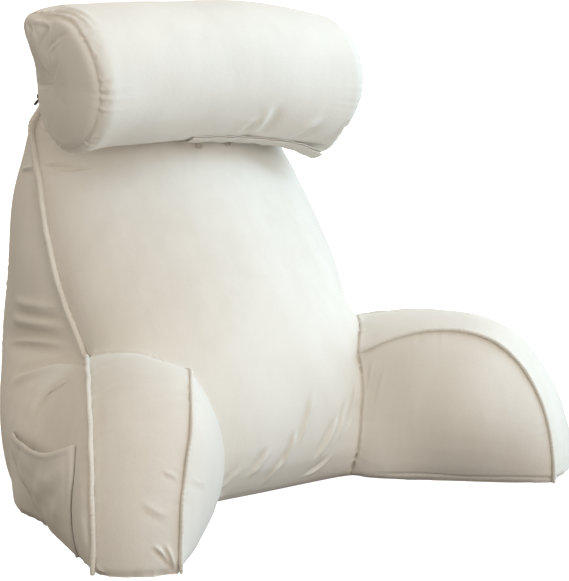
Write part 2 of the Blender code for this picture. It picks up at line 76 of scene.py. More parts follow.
ARM_NOSE = 2.2                 # squareness of the arm's front curve
MIRROR = np.array([-1.0, 1.0, 1.0])
FLANGE_END = 0.315             # length of the front seam's flat piping, from the top
WELT_ROOT = 0.013              # how much further back than the frame's the inner welts run, into the crease
BASE_SEAM = (0.0085, 0.0012, 0.0018, 0.0017)    # right arm's: height, its waviness, depth and half width

# ---- relief beside seams: depth and half width of the groove; height, wavelength and reach of the puckers
WELTED_SEAM = (0.0006, 0.0030, 0.0004, 0.014, 0.010)
BARE_SEAM = (0.0016, 0.0026, 0.0006, 0.012, 0.010)
ROLL_SEAM = (0.0004, 0.0011, 0.0008, 0.009, 0.013)

# ---- cloth
SWELL = 0.0010                 # height of slow unevenness
TUCK = (0.0035, 0.010)         # how far the cloth turns in at the floor, and from what height
ROOT_REACH, ROOT_DEPTH = 0.0025, 0.005      # arms' points this near to the back go this far into it
FLOOR_BAND = 0.0012            # what is lower than this stays on the floor
SNAP = 0.62                    # how near to a seam a point is moved onto it, in voxels
STUFFING_FRAMES = 20
SWELLING_ROUNDS = 30           # rounds of smoothing that part slow swelling from wrinkles
CLOTH = {"quality": 6, "mass": 0.2, "tension_stiffness": 18.0, "compression_stiffness": 18.0,
         "shear_stiffness": 6.0, "bending_stiffness": 0.6, "use_pressure": True}

# ---- neck roll
ROLL_MIDDLE = (0.0, 0.0825, 0.474)
ROLL_HALF_LENGTH = 0.184
ROLL_RADII = (0.081, 0.084)    # in the middle and at the ends
ROLL_SAG = (0.018, 0.008)      # droop of both ends, and the tilt down to the right
ROLL_LEAN = 0.14               # the left end's top leans out by this share of the radius
ROLL_TIP = (-0.016, 0.003, 0.011)
ROLL_TIP_TURN = 0.30 * math.pi
ROLL_TIP_SPREAD = 0.40
ROLL_END_BULGE = 0.012

# ---- crease between the right arm and the front panel, roughly: from the arm's outer corner to the floor
JUNCTION_GUIDE = (OUTER_TOP, (0.158, -0.030, 0.157), INNER_TOP, (0.117, -0.094, 0.122),
                  (0.111, -0.094, 0.090), (0.103, -0.101, 0.055), (0.101, -0.096, 0.016),
                  (0.100, -0.093, 0.001))
JUNCTION_DEPTHS = (0.0032, 0.0012)     # right and left
JUNCTION_WIDTH = 0.0015

# ---- where the stuffing pushes the cloth off the frame's even shape, in mm: middle, reach and shift
COVER_NUDGES = (
    ((-225, -220, 130), 55, (6.8, -4.8, 0)),
    ((-195, -215, 30), 45, (-1.5, 1, 0)),
    ((-180, 262, 225), 100, (7, -5.1, 0)),
    ((-190, 250, 60), 70, (4.5, -3.3, 0)),
    ((-270, 16, 2), 37, (-15, -1, 0)),
    ((165, 5, 190), 45, (-7.8, 5.7, 0)),
    ((108, -100, 55), 50, (-6.2, 4.5, 0)),
    ((258, -160, 145), 70, (3.5, -1.5, 7.5)),
    ((125, -112, 12), 55, (-11.5, -9.6, 0)),
    ((-135, -108, 162), 45, (-16.5, 10.5, -8)),
    ((185, -185, 65), 60, (-7, -5.5, 0)),
    ((-152, 198, 412), 35, (-8.5, 6.2, 0)),
    ((235, -45, 172), 70, (0, 0, 5)),
    ((288, -243, 0), 36, (0, 0, 7.5)),
)
ROLL_NUDGES = (
    ((-192, 165, 470), 50, (6, -3, 0)),
    ((-185, 90, 555), 50, (0, 0, 1.5)),
    ((95, 83, 555), 70, (0, 0, 5)),
    ((190, 83, 500), 60, (3.5, -2, 2)),
    ((-140, 40, 385), 50, (0, 0, 5)),
    ((186, 40, 400), 45, (-8, 4, 4)),
)

# ---- folds: half width and height of the ridge, then its line, in mm; the valley lies beside it
COVER_FOLDS = (
    (3.1, 1.5, (26, -108, 116), (13, -114, 91), (2, -115, 68), (-3, -113, 52)),
    (2.6, 1.7, (-4, -115, 78), (-13, -113, 57), (-25, -107, 31)),
    (3.1, 1.6, (-40, -114, 62), (-55, -109, 41), (-66, -103, 26)),
    (2.9, 1.9, (62, -111, 84), (43, -113, 58), (24, -107, 31)),
    (2.6, 1.4, (80, -104, 100), (67, -110, 75), (56, -111, 50)),
    (3.1, 1.4, (103, -92, 112), (90, -104, 83), (73, -110, 60)),
    (2.5, 1.2, (-20, -112, 48), (-33, -105, 27), (-41, -97, 12)),
    (3.1, 1, (-76, -107, 44), (-88, -101, 29), (-98, -95, 16)),
    (2.7, 1.1, (52, -109, 38), (35, -103, 22), (12, -97, 12)),
    (1.9, 0.6, (122, -96, 140), (117, -95, 114), (112, -94, 90)),
    (2.1, 0.5, (129, -113, 139), (121, -111, 110), (113, -108, 62)),
    (1.9, 1.6, (-272, -259, 34), (-266, -261, 18), (-262, -262, 2)),
    (2, 1.2, (-284, -254, 34), (-272, -260, 20), (-266, -261, 8)),
    (2.6, 0.5, (-266, -243, 103), (-256, -247, 98), (-250, -250, 92)),
    (3, 0.4, (-240, -249, 95), (-227, -246, 85), (-212, -239, 79)),
    (3.6, 0.4, (-290, -242, 78), (-278, -251, 66), (-262, -257, 58)),
    (1.9, 0.7, (-332, -219, 16), (-326, -220, 7), (-320, -228, 2)),
    (7.2, 3.1, (-205, 18, 158), (-213, 48, 148), (-236, 82, 136), (-244, 127, 117)),
    (1.7, -1.9, (-238, -49, 175), (-214, 12, 156)),
    (8, -2.2, (-246, -20, 158), (-256, 24, 130), (-270, 10, 104)),
    (5.6, 2.3, (-207, 196, 180), (-208, 114, 186), (-196, 65, 187)),
    (3.7, 1.5, (-209, 199, 150), (-208, 113, 165), (-194, 63, 167)),
    (6.4, 2, (-209, 185, 204), (-208, 122, 206), (-198, 74, 208)),
    (1.9, -1.9, (-157, 194, 412), (-149, 184, 406), (-140, 170, 400)),
    (1.8, 1.3, (-176, 168, 368), (-159, 146, 367), (-133, 121, 366)),
    (1.8, -1.2, (-174, 166, 361), (-158, 138, 360), (-130, 115, 362)),
    (2.5, 1.2, (-180, 206, 356), (-180, 189, 360), (-179, 170, 364)),
)
ROLL_FOLDS = (
    (1.9, 1.4, (-212, 128, 534), (-209, 119, 525), (-208, 120, 512)),
    (2, 1.2, (-211, 122, 535), (-206, 112, 527), (-208, 108, 508)),
    (2.2, 1.5, (-210, 120, 536), (-200, 81, 525), (-204, 96, 506), (-205, 99, 492)),
    (2.5, 1.1, (-194, 42, 522), (-200, 68, 509), (-202, 90, 495)),
    (2.4, 1.5, (-208, 124, 537), (-196, 92, 540), (-188, 50, 536), (-182, 28, 524)),
    (2.6, 1.5, (-203, 114, 541), (-189, 77, 544), (-181, 42, 536), (-178, 22, 522)),
    (2.9, 1.2, (-192, 98, 547), (-178, 55, 544), (-170, 29, 530)),
    (6.4, 1.6, (44, 48, 395), (46, 24, 414), (50, 8, 440)),
    (7.2, 2, (92, 50, 392), (104, 26, 404), (128, 12, 418)),
    (6.4, 1.3, (16, 46, 398), (24, 28, 412), (44, 17, 424)),
    (7.2, 1.6, (140, 52, 392), (160, 30, 412), (176, 26, 440)),
)
POCKET_FOLDS = (
    (10, 2.2, (-325, -166, 100), (-327, -120, 72), (-310, -70, 40)),
    (8, 1.6, (-326, -165, 80), (-325, -140, 50), (-316, -115, 24)),
    (10, 1.4, (-290, 20, 85), (-300, -20, 60), (-306, -60, 30)),
)


# ---- settings
def number(name, description, default, unit="NONE", **limits):
    return bpy.props.FloatProperty(name=name, description=description, default=default, min=0.0, unit=unit,
                                   **limits)


def length(name, description, default):
    return number(name, description, default, "LENGTH")


def share(name, description, default):
    return number(name, description, default, max=1.0, subtype="FACTOR")


def colour(name, description, default):
    return bpy.props.FloatVectorProperty(name=name, description=description, default=default, size=3,
                                         subtype="COLOR", min=0.0, max=1.0)


class PILLOW_PG_cover(bpy.types.PropertyGroup):
    """Cloth and stuffing of the cover."""

    pile: colour("Pile colour", "Colour of the short pile", (0.80, 0.785, 0.745))
    nap: colour("Nap colour", "Colour of the pile where it is brushed the other way", (0.755, 0.73, 0.68))
    roll: colour("Roll's pile colour", "Colour of the roll's pile, a little lighter", (0.845, 0.83, 0.79))
    voxel: length("Cloth grain", "Size of the faces that the cover is sewn from", 0.0045)
    pressure: number("Stuffing pressure", "How hard the stuffing pushes", 4.0)
    slack: share("Slack", "How much larger the cloth is cut than the body it covers", 0.02)
    cap: length("Most movement", "How far the stuffing may move a point", 0.009)
    crispness: share("Swelling kept", "Share of the stuffing's slow swelling that is kept", 0.35)
    creasing: number("Creasing", "Factor on the height of the cover's and the roll's folds", 1.8)


class PILLOW_PG_piping(bpy.types.PropertyGroup):
    """Piping in the seams."""

    flange: length("Flange", "Half width of the flat piping in the front seams", 0.0036)
    radius: length("Cord radius", "Radius of the covered cord in the arms' outer seams", 0.0026)
    thin: length("Thin cord radius", "Radius of the covered cord in the arms' inner seams", 0.0020)
    proud: share("Stand", "How far the cord's middle stands off the seam, as a share of its radius", 0.85)
    tint: colour("Piping colour", "Colour of the cloth over the cord", (0.79, 0.77, 0.72))


class PILLOW_PG_pocket(bpy.types.PropertyGroup):
    """Side pocket."""

    thickness: length("Cloth", "Thickness of the pocket's cloth", 0.0016)
    hem: length("Hem", "Extra thickness of the turned hem", 0.0012)
    opening: length("Opening", "How far the mouth's middle stands off the arm", 0.017)


class PILLOW_PG_fastenings(bpy.types.PropertyGroup):
    """Buttons, thread loops and zip."""

    button: length("Button radius", "Radius of the small buttons", 0.0032)
    loop: length("Loop radius", "Radius of the thread rings", 0.0046)
    thread: length("Thread radius", "Radius of the loops' thread", 0.0007)
    shell: colour("Button colour", "Colour of the buttons", (0.70, 0.65, 0.56))
    twine: colour("Thread colour", "Colour of the loops' thread", (0.72, 0.68, 0.60))
    metal: colour("Zip colour", "Colour of the zip's metal", (0.10, 0.095, 0.09))


class PILLOW_PG_stage(bpy.types.PropertyGroup):
    """Studio, light and camera."""

    ground: colour("Ground colour", "Colour of the ground, which returns light upwards", (0.15, 0.14, 0.12))
    window: number("Window", "Power of the cool light low on the right", 23.0, "POWER")
    key: number("Key light", "Power of the cool light high on the right", 25.0, "POWER")
    low: number("Low light", "Power of the warm light nearer the camera", 18.0, "POWER")
    rear: number("Rear light", "Power of the light behind the pillow", 6.0, "POWER")
    ambient: colour("Ambient colour", "Colour of the light from all round", (1.0, 0.89, 0.76))
    sky: number("Ambient", "Strength of the light from all round", 0.70)


SETTINGS = {
    "pillow_cover": PILLOW_PG_cover,
    "pillow_piping": PILLOW_PG_piping,
    "pillow_pocket": PILLOW_PG_pocket,
    "pillow_fastenings": PILLOW_PG_fastenings,
    "pillow_stage": PILLOW_PG_stage,
}


# ---- shader graphs
class Term:
    """A node's output. Sums and products of terms and numbers add their Math nodes."""

    def __init__(self, graph, socket):
        self.graph, self.socket = graph, socket

    def made(self, operation, left, right):
        return self.graph.node("ShaderNodeMath", {"operation": operation}, {0: left, 1: right})

    def __add__(self, other):
        return self.made("ADD", self, other)

    def __radd__(self, other):
        return self.made("ADD", other, self)

    def __mul__(self, other):
        return self.made("MULTIPLY", self, other)

    def __rmul__(self, other):
        return self.made("MULTIPLY", other, self)


class Graph:
    """A material's nodes."""

    def __init__(self, name):
        self.material = bpy.data.materials.new(name)
        self.material.use_nodes = True
        self.tree = self.material.node_tree
        self.shader = self.tree.nodes["Principled BSDF"]

    def node(self, kind, settings=None, inputs=None, output=0):
        """Adds a node: its settings first, then the values or links of its sockets."""
        node = self.tree.nodes.new(kind)
        for key, value in (settings or {}).items():
            setattr(node, key, value)
        self.feed(node, inputs or {})
        return Term(self, node.outputs[output])

    def feed(self, node, inputs):
        """Sets or links a node's sockets. Colours are given without their alpha."""
        for key, value in inputs.items():
            socket = node.inputs[key]
            if isinstance(value, Term):
                self.tree.links.new(value.socket, socket)
            else:
                socket.default_value = (*value, 1.0) if socket.type == "RGBA" else value

    def noise(self, scale, detail=2.0, stretch=(1.0, 1.0, 1.0), roughness=0.5):
        """Noise of the given features a metre over the piece, squeezed by stretch."""
        place = self.node("ShaderNodeTexCoord", output="Object")
        place = self.node("ShaderNodeMapping", None, {"Vector": place, "Scale": stretch})
        return self.node("ShaderNodeTexNoise", None,
                         {"Vector": place, "Scale": scale, "Detail": detail, "Roughness": roughness})

    def mix(self, share, first, second):
        """Colour that goes from first to second. The numbers are those of the Mix node's colour sockets."""
        return self.node("ShaderNodeMix", {"data_type": "RGBA"}, {0: share, 6: first, 7: second}, 2)

    def ramp(self, value, low, high):
        """0 up to low, 1 from high on, and a smooth step in between."""
        return self.node("ShaderNodeMapRange", {"interpolation_type": "SMOOTHSTEP"},
                         {"Value": value, "From Min": low, "From Max": high})

    def bump(self, height, strength, distance):
        return self.node("ShaderNodeBump", None,
                         {"Height": height, "Strength": strength, "Distance": distance}, "Normal")

    def surface(self, **inputs):
        """Sets or links the shader's sockets; underscores stand for spaces."""
        self.feed(self.shader, {key.replace("_", " "): value for key, value in inputs.items()})
        return self.material


def toned(tint, *factors):
    """Colour made lighter or darker, by one factor or one for each channel."""
    return tuple(float(channel) for channel in np.minimum(np.array(tint) * factors, 1.0))


def pile_cloth(name, pile, nap, bump=1.0):
    """Short brushed pile: slow mottling, faint upright brush marks and a fine fuzz that lifts the surface.
    The seam attribute paints shade into the colour, along seams and creases and in fold hollows."""
    graph = Graph(name)
    mottle = graph.noise(7.0, 3.0)
    marks = graph.noise(34.0, 4.0, (1.0, 1.0, 0.22), 0.6)
    fuzz = graph.noise(950.0, 2.0)
    tufts = graph.noise(260.0, 3.0, roughness=0.6)
    seam = graph.node("ShaderNodeAttribute", {"attribute_name": "seam"}, output="Fac")
    tone = graph.mix(graph.ramp(mottle * 0.55 + marks * 0.45, 0.36, 0.66), pile, nap)
    # painted shade: the tone goes towards a deeper nap colour where the seam attribute is high
    tone = graph.mix(seam * 0.55, tone, toned(nap, 0.86, 0.83, 0.79))
    tone = graph.mix(graph.ramp(fuzz, 0.52, 0.74) * 0.30, tone, toned(pile, 1.05))
    tone = graph.mix(graph.ramp(tufts, 0.54, 0.76) * 0.16, tone, nap)
    lift = graph.bump(fuzz * 0.6 + tufts * 0.9 + marks * 0.5, 0.32 * bump, 0.0006)
    return graph.surface(Base_Color=tone, Roughness=0.86 + 0.1 * fuzz, Normal=lift, Specular_IOR_Level=0.22,
                         Sheen_Weight=0.28, Sheen_Roughness=0.45, Sheen_Tint=(1.0, 0.97, 0.92))


def plain(name, tint, roughness, metallic=0.0, grain=300.0, depth=0.0002, coat=0.0):
    """Hard finish with a faint cloudiness and fine scratches."""
    graph = Graph(name)
    cloud = graph.noise(grain, 3.0)
    tone = graph.mix(graph.ramp(cloud, 0.35, 0.7), tint, toned(tint, 0.82))
    return graph.surface(Base_Color=tone, Roughness=roughness + 0.12 * cloud, Metallic=metallic,
                         Coat_Weight=coat, Normal=graph.bump(cloud, 0.25, depth))


# ---- lines
def unit(vectors):
    return vectors / np.maximum(np.linalg.norm(vectors, axis=-1, keepdims=True), 1e-12)


def metres(millimetres):
    return np.array(millimetres, float) / 1000


def turns(count):
    """Angles evenly round a circle."""
    return np.linspace(0, 2 * math.pi, count, endpoint=False)


def run_of(path):
    """Length along the polyline up to each of its points."""
    return np.concatenate([[0.0], np.cumsum(np.linalg.norm(np.diff(path, axis=0), axis=1))])


def evened(points, step):
    """The polyline's points again, evenly spaced at about the given step."""
    run = run_of(points)
    marks = np.linspace(0.0, run[-1], max(2, round(run[-1] / step)) + 1)
    return np.stack([np.interp(marks, run, points[:, i]) for i in range(3)], axis=1)


def eased(line, rounds):
    """Each round moves every inner point half way to the middle of its two neighbours."""
    for _ in range(rounds):
        line[1:-1] = (line[:-2] + 2 * line[1:-1] + line[2:]) / 4
    return line


def smooth_curve(points, step=0.002):
    """Cubic through the points with slopes taken from their neighbours, then evened out."""
    p = np.array(points, float)
    knots = run_of(p)
    slopes = np.gradient(p, knots, axis=0)
    fine = np.linspace(0.0, knots[-1], 40 * len(p))
    k = np.clip(np.searchsorted(knots, fine, side="right") - 1, 0, len(p) - 2)
    span = (knots[k + 1] - knots[k])[:, None]
    t = (fine[:, None] - knots[k][:, None]) / span
    curve = ((2 * t**3 - 3 * t**2 + 1) * p[k] + (t**3 - 2 * t**2 + t) * span * slopes[k]
             + (3 * t**2 - 2 * t**3) * p[k + 1] + (t**3 - t**2) * span * slopes[k + 1])
    return evened(curve, step)


def arm_line(start, tip, top):
    """Seam along the arm: straight in plan. Its height is a parabola to the hump, then a superellipse."""
    shares = np.sin(np.linspace(0.0, 1.0, 120) * math.pi / 2)[:, None]
    points = np.array(start) * (1 - shares) + np.array(tip) * shares
    shares = shares[:, 0]
    before = np.clip(1 - shares / ARM_HUMP, 0.0, 1.0)
    fall = np.clip((shares - ARM_HUMP) / (1 - ARM_HUMP), 0.0, 1.0)
    rise = top - (top - start[2]) * before**2
    points[:, 2] = np.where(shares < ARM_HUMP, rise, top * (1 - fall**ARM_NOSE) ** (1 / ARM_NOSE))
    return evened(points, 0.002)


def seam_lines():
    """Name to polyline for each seam, right and left."""
    lines = {}
    for side, way in (("right", 1.0), ("left", MIRROR)):
        outer = arm_line(OUTER_TOP, TIP_OUTER, ARM_TOPS["outer"])
        lines["outer_" + side] = np.concatenate([smooth_curve(FRONT_SEAM)[:0:-1], outer]) * way
        lines["inner_" + side] = arm_line(INNER_TOP, TIP_INNER, ARM_TOPS["inner"]) * way
        lines["rear_" + side] = smooth_curve(REAR_SEAM) * way
    lines["top_front"] = smooth_curve(TOP_FRONT_SEAM)
    lines["top_rear"] = smooth_curve(TOP_REAR_SEAM)
    return lines


def along(points, path, reach):
    """For points within reach of the path: index, distance, length along it, offset and direction there."""
    near = np.all((points > path.min(0) - reach) & (points < path.max(0) + reach), axis=1).nonzero()[0]
    run = run_of(path)
    found = np.concatenate([np.linalg.norm(points[part, None] - path[None], axis=2).argmin(axis=1)
                            for part in np.array_split(near, len(near) // 4000 + 1)]) if len(near) else near
    heading = unit(np.gradient(path, axis=0))[found]
    offset = points[near] - path[found]
    lengthwise = (offset * heading).sum(axis=1)
    ends = (found == 0) | (found == len(path) - 1)
    across = np.where(ends[:, None], offset, offset - lengthwise[:, None] * heading)
    gap = np.linalg.norm(across, axis=1)
    keep = gap < reach
    return near[keep], gap[keep], (run[found] + lengthwise)[keep], across[keep], heading[keep]


def ripple(values, wavelength, seed):
    """Uneven wave along a length: seven sines whose wavelengths lie round the given one."""
    random = np.random.default_rng(seed)
    waves = 2 * math.pi / (wavelength * random.uniform(0.65, 1.6, 7))
    return np.sin(values[:, None] * waves + random.uniform(0, 2 * math.pi, 7)).sum(axis=1) / 2.6


def billow(points, wavelength, seed):
    """Uneven waves through space: the sum of twelve plane waves in random directions, about -1 to 1."""
    random = np.random.default_rng(seed)
    ways = unit(random.normal(size=(12, 3)))
    waves = ways * (2 * math.pi / (wavelength * random.uniform(0.7, 1.5, (12, 1))))
    return np.sin(points @ waves.T + random.uniform(0, 2 * math.pi, 12)).sum(axis=1) / 3.5


# ---- relief
def fold_relief(points, normals, folds):
    """Height of the folds: a Gaussian ridge along each line, with a shallower valley beside it. Both fade at
    the line's ends."""
    height = np.zeros(len(points))
    for fold in folds:
        width, rise, line = map(metres, (fold[0], fold[1], fold[2:]))
        path = smooth_curve(line, 0.0015)
        total = run_of(path)[-1]
        index, gap, run, across, heading = along(points, path, 5 * width)
        side = np.sign((across * np.cross(heading, normals[index])).sum(axis=1))
        place = gap * side / width
        fade = np.clip(np.minimum(run, total - run) / (0.4 * total) + 0.05, 0.0, 1.0)
        fade = fade * fade * (3 - 2 * fade)
        height[index] += rise * fade * (np.exp(-place**2) - 0.6 * np.exp(-((place - 1.9) / 1.3) ** 2))
    return height


def painted_fold_shade(relief):
    """Painted shade in a fold's valley: how much darker the pile's colour is made there, from 0 to 1."""
    return 0.75 * np.clip(-relief / 0.0010, 0.0, 1.0)


def nudged(points, nudges):
    """Points pushed by each nudge's shift, which fades as a Gaussian of the distance from its middle."""
    push = np.zeros_like(points)
    for nudge in nudges:
        middle, reach, shift = map(metres, nudge)
        gap = np.linalg.norm(points - middle, axis=-1, keepdims=True)
        push += shift * np.exp(-((gap / reach) ** 2))
    return points + push


def seam_relief(points, paths, relief, seed, one_way=None):
    """Height beside seams: a Gaussian groove on each, and puckers across it that die out with distance. With
    one_way most of the puckers are on that side. Also how near each point is to a seam, from 0 to 1."""
    groove, width, pucker, wavelength, reach = relief
    height, near = np.zeros(len(points)), np.zeros(len(points))
    for number, path in enumerate(paths):
        index, gap, run, across, _ = along(points, path, 4 * reach)
        gate = np.clip(ripple(run, 5 * wavelength, seed + 40 + number) * 0.7 + 0.6, 0.0, 1.0)
        if one_way is not None:
            gate = gate * np.clip(across @ np.array(one_way[number]) / 0.001, 0.15, 1.0)
        height[index] += pucker * gate * ripple(run, wavelength, seed + number) * np.exp(-gap / reach)
        height[index] -= groove * np.exp(-((gap / width) ** 2))
        near[index] = np.maximum(near[index], np.exp(-((gap / (1.6 * width)) ** 2)))
    return height, near


# ---- meshes
def array_of(items, attribute, width, kind=float):
    flat = np.empty(len(items) * width, np.float32 if kind is float else np.int32)
    items.foreach_get(attribute, flat)
    return flat.reshape(-1, width).astype(kind)


def points_of(mesh):
    return array_of(mesh.vertices, "co", 3)


def normals_of(mesh):
    return array_of(mesh.vertex_normals, "vector", 3)


def set_points(mesh, points):
    mesh.vertices.foreach_set("co", points.astype(np.float32).ravel())
    mesh.update()


def mesh_object(name, points, faces):
    """Object whose place is in its mesh, with merged doubles and outward faces."""
    mesh = bpy.data.meshes.new(name)
    mesh.from_pydata(np.asarray(points).tolist(), [], np.asarray(faces).tolist())
    builder = bmesh.new()
    builder.from_mesh(mesh)
    bmesh.ops.remove_doubles(builder, verts=builder.verts, dist=1e-6)
    bmesh.ops.dissolve_degenerate(builder, edges=builder.edges, dist=1e-7)
    bmesh.ops.recalc_face_normals(builder, faces=builder.faces)
    builder.to_mesh(mesh)
    builder.free()
    obj = bpy.data.objects.new(name, mesh)
    bpy.context.scene.collection.objects.link(obj)
    return obj


def tube_object(name, grid, closed=False):
    """Object from a grid of points whose rows are rings. Closed also joins the last ring to the first."""
    rows, columns = grid.shape[:2]
    return mesh_object(name, grid.reshape(-1, 3), ring_faces(rows, columns, closed))


def ring_faces(rows, columns, closed=False):
    """Four-sided faces between rings of points, counted ring by ring."""
    r = np.arange(rows if closed else rows - 1)[:, None]
    c = np.arange(columns)[None, :]
    down, right = (r + 1) % rows, (c + 1) % columns
    return np.stack([r * columns + c, r * columns + right, down * columns + right, down * columns + c],
                    axis=-1).reshape(-1, 4)


def filled(obj):
    """Closes the holes at a sheet's ends."""
    builder = bmesh.new()
    builder.from_mesh(obj.data)
    bmesh.ops.holes_fill(builder, edges=[edge for edge in builder.edges if edge.is_boundary], sides=0)
    bmesh.ops.triangulate(builder, faces=[face for face in builder.faces if len(face.verts) > 4])
    bmesh.ops.recalc_face_normals(builder, faces=builder.faces)
    builder.to_mesh(obj.data)
    builder.free()


def finished(obj, modifier=None, **settings):
    """Applies one modifier, or none, and puts the result into the object's mesh."""
    if modifier:
        made = obj.modifiers.new(modifier.lower(), modifier)
        for key, value in settings.items():
            setattr(made, key, value)
    graph = bpy.context.evaluated_depsgraph_get()
    old, obj.data = obj.data, bpy.data.meshes.new_from_object(obj.evaluated_get(graph), depsgraph=graph)
    obj.modifiers.clear()
    bpy.data.meshes.remove(old)
    return obj.data


def subdivided(obj, levels=1):
    return finished(obj, "SUBSURF", levels=levels, render_levels=levels, boundary_smooth="PRESERVE_CORNERS")


def tree_of(mesh):
    return BVHTree.FromPolygons(points_of(mesh).tolist(), [tuple(face.vertices) for face in mesh.polygons])


def frame_tree(*names):
    """Search tree over frame solids."""
    points, faces = [], []
    for name in names:
        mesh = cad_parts[name].data
        faces += [[vertex + len(points) for vertex in face.vertices] for face in mesh.polygons]
        points += points_of(mesh).tolist()
    return BVHTree.FromPolygons(points, faces)


def held_outside(points, tree, gap, reach=0.06):
    """Moves points that are inside the tree's solid out to its surface, and a gap beyond."""
    moved = points.copy()
    for index, point in enumerate(points):
        place, normal, _, distance = tree.find_nearest(point)
        depth = (Vector(point) - place).dot(normal)
        if depth < gap and distance < reach:
            moved[index] = place + normal * gap
    return moved


def smoothed(values, edges, rounds, fixed=None):
    """Each round moves every value half way to the mean of its neighbours."""
    count = np.bincount(edges.ravel(), minlength=len(values))[:, None]
    first, second = edges[:, 0], edges[:, 1]
    for _ in range(rounds):
        total = np.stack([np.bincount(first, values[second, i], len(values))
                          + np.bincount(second, values[first, i], len(values)) for i in range(3)], axis=1)
        mean = 0.5 * values + 0.5 * total / np.maximum(count, 1)
        values = mean if fixed is None else np.where(fixed[:, None], values, mean)
    return values


def stuffed(obj, fixed, settings):
    """Blows the cover up against its sewn seams with a cloth simulation. Wrinkles are kept whole, and the
    slow swelling that would change the outline is kept in part."""
    rest = points_of(obj.data)
    group = obj.vertex_groups.new(name="sewn")
    group.add(fixed.nonzero()[0].tolist(), 1.0, "REPLACE")
    cloth = obj.modifiers.new("stuffing", "CLOTH")
    for key, value in CLOTH.items():
        setattr(cloth.settings, key, value)
    cloth.settings.vertex_group_mass = group.name
    cloth.settings.uniform_pressure_force = settings.pressure
    cloth.settings.shrink_min = -settings.slack
    cloth.settings.effector_weights.gravity = 0.0
    cloth.collision_settings.use_collision = False
    cloth.point_cache.frame_start, cloth.point_cache.frame_end = 1, STUFFING_FRAMES
    for number in range(1, STUFFING_FRAMES + 1):
        bpy.context.scene.frame_set(number)
    moved = points_of(obj.evaluated_get(bpy.context.evaluated_depsgraph_get()).data) - rest
    bpy.context.scene.frame_set(1)
    obj.modifiers.clear()
    obj.vertex_groups.clear()
    reach = np.linalg.norm(moved, axis=1, keepdims=True)
    moved *= np.minimum(1.0, settings.cap / np.maximum(reach, 1e-9))
    slow = smoothed(moved, array_of(obj.data.edges, "vertices", 2, int), SWELLING_ROUNDS)
    return rest + moved - (1 - settings.crispness) * slow


def dressed(obj, material, slot, *nodes):
    """Gives a finished piece its material and its body, and hides the frame solids it stands for."""
    obj.data.materials.clear()
    obj.data.materials.append(material)
    obj.data.shade_smooth()
    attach(obj, "root")
    if nodes:
        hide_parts(*nodes)
    return obj


def store_painted_shade(mesh, near):
    """Stores as the seam attribute how much shade is painted into the cloth's colour at each point."""
    mesh.attributes.new("seam", "FLOAT", "POINT").data.foreach_set("value", near.astype(np.float32))


# ---- cover
def union_of_bodies():
    """Back cushion and arms as one object, with the points where each arm meets the back. The arms' roots are
    pushed into the back so that they join."""
    back = frame_tree("back_cushion")
    builder = bmesh.new()
    meetings = {}
    for name in ("back_cushion", "arm_left", "arm_right"):
        part = bmesh.new()
        part.from_mesh(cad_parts[name].data)
        bmesh.ops.remove_doubles(part, verts=part.verts, dist=1e-6)
        if name != "back_cushion":
            depths = []
            for vertex in part.verts:
                place, normal, _, distance = back.find_nearest(vertex.co)
                if distance < ROOT_REACH:
                    vertex.co = place - normal * ROOT_DEPTH
                depths.append((vertex.co - place).dot(normal))
            meetings[name] = np.array([
                edge.verts[0].co.lerp(edge.verts[1].co, depths[edge.verts[0].index]
                                      / (depths[edge.verts[0].index] - depths[edge.verts[1].index]))
                for edge in part.edges if depths[edge.verts[0].index] * depths[edge.verts[1].index] < 0])
        mesh = bpy.data.meshes.new("part")
        part.to_mesh(mesh)
        part.free()
        builder.from_mesh(mesh)
        bpy.data.meshes.remove(mesh)
    mesh = bpy.data.meshes.new("cover_body")
    builder.to_mesh(mesh)
    builder.free()
    obj = bpy.data.objects.new("cover_body", mesh)
    bpy.context.scene.collection.objects.link(obj)
    return obj, meetings["arm_right"], meetings["arm_left"]


def snapped(points, paths, reach):
    """Moves points near a seam onto it, so that the seam is crisp, and says which they are."""
    on_seam = np.zeros(len(points), bool)
    for path in paths:
        index, _, _, across, _ = along(points, path, reach)
        points[index] -= across
        on_seam[index] = True
    return points, on_seam


def junction(meeting, way):
    """Line along the crease between an arm and the front panel: for each point of the guide, the nearest
    places where their solids meet, then smoothed."""
    guide = evened(np.array(JUNCTION_GUIDE) * way, 0.003)
    gap = np.linalg.norm(guide[:, None] - meeting[None], axis=2)
    weight = np.exp((gap.min(axis=1, keepdims=True) - gap) / 0.003)
    return evened(eased((weight @ meeting) / weight.sum(axis=1, keepdims=True), 10), 0.002)


def refined(obj, paths, reach):
    """Halves the faces that lie within reach of the paths, for crisp folds."""
    points = points_of(obj.data)
    near = np.zeros(len(points), bool)
    for path in paths:
        near[along(points, path, reach)[0]] = True
    builder = bmesh.new()
    builder.from_mesh(obj.data)
    edges = [edge for edge in builder.edges if near[edge.verts[0].index] and near[edge.verts[1].index]]
    bmesh.ops.subdivide_edges(builder, edges=edges, cuts=1, use_grid_fill=True)
    builder.to_mesh(obj.data)
    builder.free()
    return obj.data


